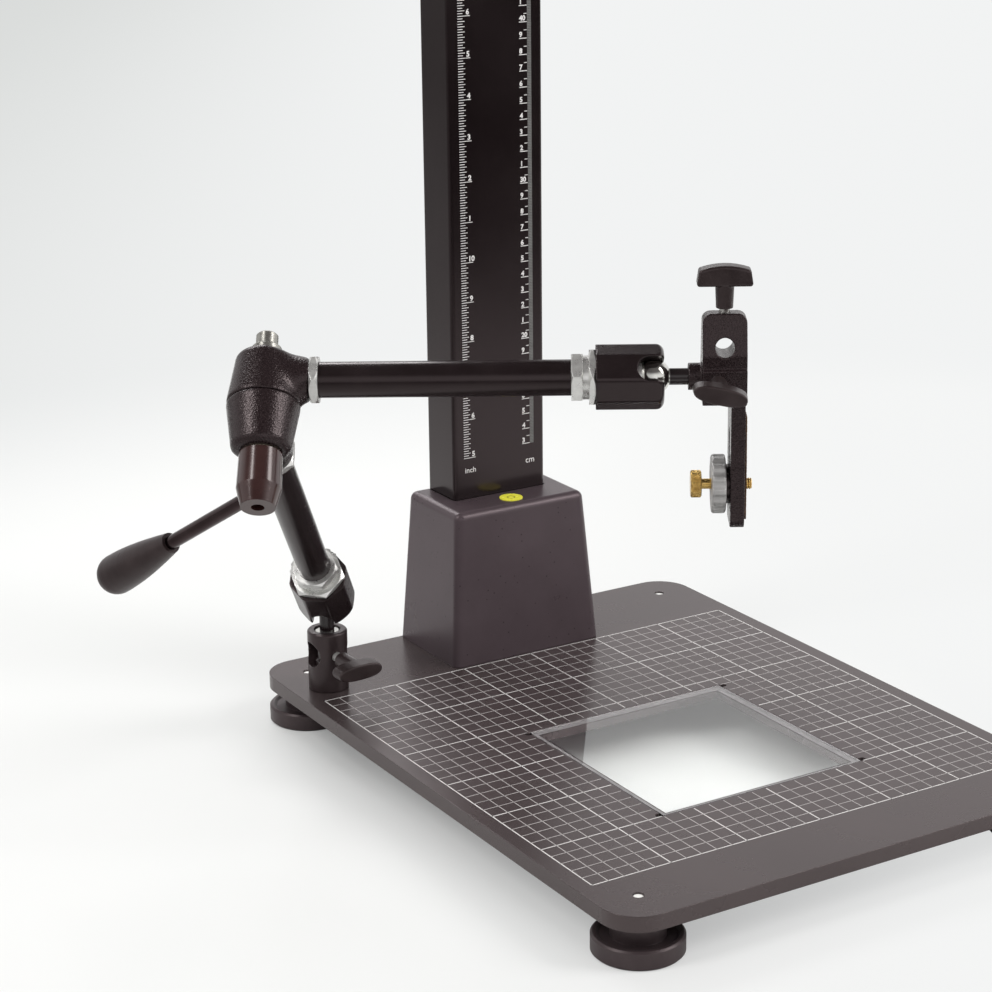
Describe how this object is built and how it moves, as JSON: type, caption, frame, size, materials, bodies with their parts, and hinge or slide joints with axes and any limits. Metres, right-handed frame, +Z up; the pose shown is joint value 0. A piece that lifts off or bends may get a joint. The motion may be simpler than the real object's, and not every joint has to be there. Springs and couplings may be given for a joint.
{
  "type": "copy stand with articulated arm",
  "caption": "Copy stand: a gridded baseboard on feet with a glass window, a scaled column with a sliding camera carriage, and a lever-locked ball-jointed arm with a camera bracket.",
  "frame": {"origin": "the copying centre: the middle of the glass window, on the top face of the glass, which is flush with the board", "axes": "+X to the right edge of the board, +Y to the column at the back, +Z up"},
  "size_m": [0.4579, 0.4293, 0.637],
  "materials": {
    "board_paint": "matt dark grey coating",
    "glass": "clear",
    "zinc": "zinc plated",
    "foot_plastic": "satin black",
    "column_paint": "black, semi-matt",
    "plug_alu": "bare",
    "black_plastic": "satin black",
    "cover_paint": "fine grey-brown paint",
    "level_yellow": "bright yellow",
    "level_lens": "clear with a ring",
    "crackle": "black, fine crackle",
    "chrome": "bright plated",
    "brown_plastic": "very dark brown, glossy",
    "rod_black": "black, glossy",
    "cream_washer": "cream",
    "pad_brown": "dark brown",
    "wheel_metal": "cast, matt",
    "brass": "bright"
  },
  "bodies": {
    "stand": {"baseboard": "board_paint", "glass_pane": "glass", "foot_studs": "zinc", "column": "column_paint", "column_cap": "black_plastic", "column_plug": "plug_alu", "column_bolts": "zinc", "plug_screws": "zinc", "column_cover": "cover_paint", "cover_screws": "zinc", "level_case": "level_yellow", "level_lens": "level_lens", "arm_socket": "crackle", "socket_base_screw": "zinc"},
    "foot_front_left": {"foot_front_left": "foot_plastic"},
    "foot_front_right": {"foot_front_right": "foot_plastic"},
    "foot_back_left": {"foot_back_left": "foot_plastic"},
    "foot_back_right": {"foot_back_right": "foot_plastic"},
    "socket_clamp": {"socket_screw": "chrome", "socket_wing": "black_plastic"},
    "lower_stud": {"lower_spigot": "chrome", "lower_ball_stem": "chrome"},
    "lower_arm": {"lower_housing": "crackle", "lower_flange_nut": "chrome", "lower_lock_nut": "chrome", "lower_tube": "crackle", "lower_collar": "chrome", "lower_casting": "crackle", "lower_cup": "zinc", "lower_push_rod": "zinc", "friction_washer": "cream_washer"},
    "lever": {"lock_cap": "brown_plastic", "lever_rod": "rod_black", "lever_grip": "black_plastic"},
    "upper_arm": {"upper_casting": "crackle", "upper_collar": "chrome", "upper_tube": "crackle", "upper_lock_nut": "chrome", "upper_flange_nut": "chrome", "upper_housing": "crackle", "upper_cup": "zinc", "upper_push_rod": "zinc", "centre_bolt": "chrome"},
    "upper_stud": {"upper_ball_stem": "chrome"},
    "camera_bracket": {"bracket": "crackle", "camera_pad": "pad_brown"},
    "t_handle": {"t_screw": "chrome", "t_knob": "black_plastic"},
    "bracket_clamp": {"bracket_screw": "chrome", "bracket_wing": "black_plastic"},
    "screw_slider": {"wheel_washer": "rod_black"},
    "wheel": {"lock_wheel": "wheel_metal"},
    "thumb_screw": {"camera_screw": "brass"},
    "carriage_body": {"carriage": "column_paint", "camera_arm": "column_paint", "arm_bolts": "zinc"},
    "clamp_knob": {"carriage_knob": "black_plastic"},
    "plate_screw": {"plate_camera_screw": "brass"}
  },
  "joints": [
    {"name": "foot_front_left_turn", "type": "hinge", "parent": "stand", "child": "foot_front_left", "pos_m": [-0.136, -0.142, -0.021], "axis": [0, 0, 1], "continuous": true},
    {"name": "foot_front_right_turn", "type": "hinge", "parent": "stand", "child": "foot_front_right", "pos_m": [0.136, -0.142, -0.021], "axis": [0, 0, 1], "continuous": true},
    {"name": "foot_back_left_turn", "type": "hinge", "parent": "stand", "child": "foot_back_left", "pos_m": [-0.136, 0.23, -0.021], "axis": [0, 0, 1], "continuous": true},
    {"name": "foot_back_right_turn", "type": "hinge", "parent": "stand", "child": "foot_back_right", "pos_m": [0.136, 0.23, -0.021], "axis": [0, 0, 1], "continuous": true},
    {"name": "socket_clamp_turn", "type": "hinge", "parent": "stand", "child": "socket_clamp", "pos_m": [-0.1362, 0.1885, 0.0235], "axis": [0, -1, 0], "range_deg": [0, 360]},
    {"name": "arm_swivel", "type": "hinge", "parent": "stand", "child": "lower_stud", "pos_m": [-0.1362, 0.201, 0.0591], "axis": [0, 0, 1], "range_deg": [-160, 75]},
    {"name": "lower_ball_tilt", "type": "hinge", "parent": "lower_stud", "child": "lower_arm", "pos_m": [-0.1362, 0.201, 0.0591], "axis": [0.7771, -0.6293, 0], "range_deg": [-50, 45]},
    {"name": "lock_lever_turn", "type": "hinge", "parent": "lower_arm", "child": "lever", "pos_m": [-0.23115, 0.08375, 0.20945], "axis": [0.379, 0.5983, 0.706], "range_deg": [-120, 0]},
    {"name": "elbow", "type": "hinge", "parent": "lower_arm", "child": "upper_arm", "pos_m": [-0.2191, 0.10277, 0.2319], "axis": [-0.379, -0.5983, -0.706], "range_deg": [-50, 90]},
    {"name": "upper_ball_tilt", "type": "hinge", "parent": "upper_arm", "child": "upper_stud", "pos_m": [-0.03988, -0.01233, 0.23322], "axis": [0.2746, 0.4374, 0.8563], "range_deg": [-90, 25]},
    {"name": "bracket_spin", "type": "hinge", "parent": "upper_stud", "child": "camera_bracket", "pos_m": [-0.02305, -0.02313, 0.23334], "axis": [0.8414, -0.5404, 0.0062], "continuous": true},
    {"name": "t_handle_turn", "type": "hinge", "parent": "camera_bracket", "child": "t_handle", "pos_m": [-0.00708, -0.03339, 0.26946], "axis": [-0.0053, 0.0032, 1], "range_deg": [0, 360]},
    {"name": "bracket_clamp_turn", "type": "hinge", "parent": "camera_bracket", "child": "bracket_clamp", "pos_m": [-0.01718, -0.04176, 0.23343], "axis": [-0.5404, -0.8414, -0.0001], "range_deg": [0, 360]},
    {"name": "camera_screw_slide", "type": "slide", "parent": "camera_bracket", "child": "screw_slider", "axis": [-0.0053, 0.0032, 1], "range_m": [-0.009, 0.029]},
    {"name": "lock_wheel_turn", "type": "hinge", "parent": "screw_slider", "child": "wheel", "pos_m": [-0.00371, -0.03555, 0.17178], "axis": [0.8414, -0.5404, 0.0062], "continuous": true},
    {"name": "camera_screw_turn", "type": "hinge", "parent": "screw_slider", "child": "thumb_screw", "pos_m": [-0.00371, -0.03555, 0.17178], "axis": [0.8414, -0.5404, 0.0062], "continuous": true},
    {"name": "carriage_slide", "type": "slide", "parent": "stand", "child": "carriage_body", "axis": [0, 0, 1], "range_m": [-0.39, 0.03]},
    {"name": "carriage_knob_turn", "type": "hinge", "parent": "carriage_body", "child": "clamp_knob", "pos_m": [0.034, 0.233, 0.535], "axis": [1, 0, 0], "range_deg": [0, 360]},
    {"name": "plate_screw_turn", "type": "hinge", "parent": "carriage_body", "child": "plate_screw", "pos_m": [0, 0.045, 0.535], "axis": [0, -1, 0], "continuous": true}
  ]
}
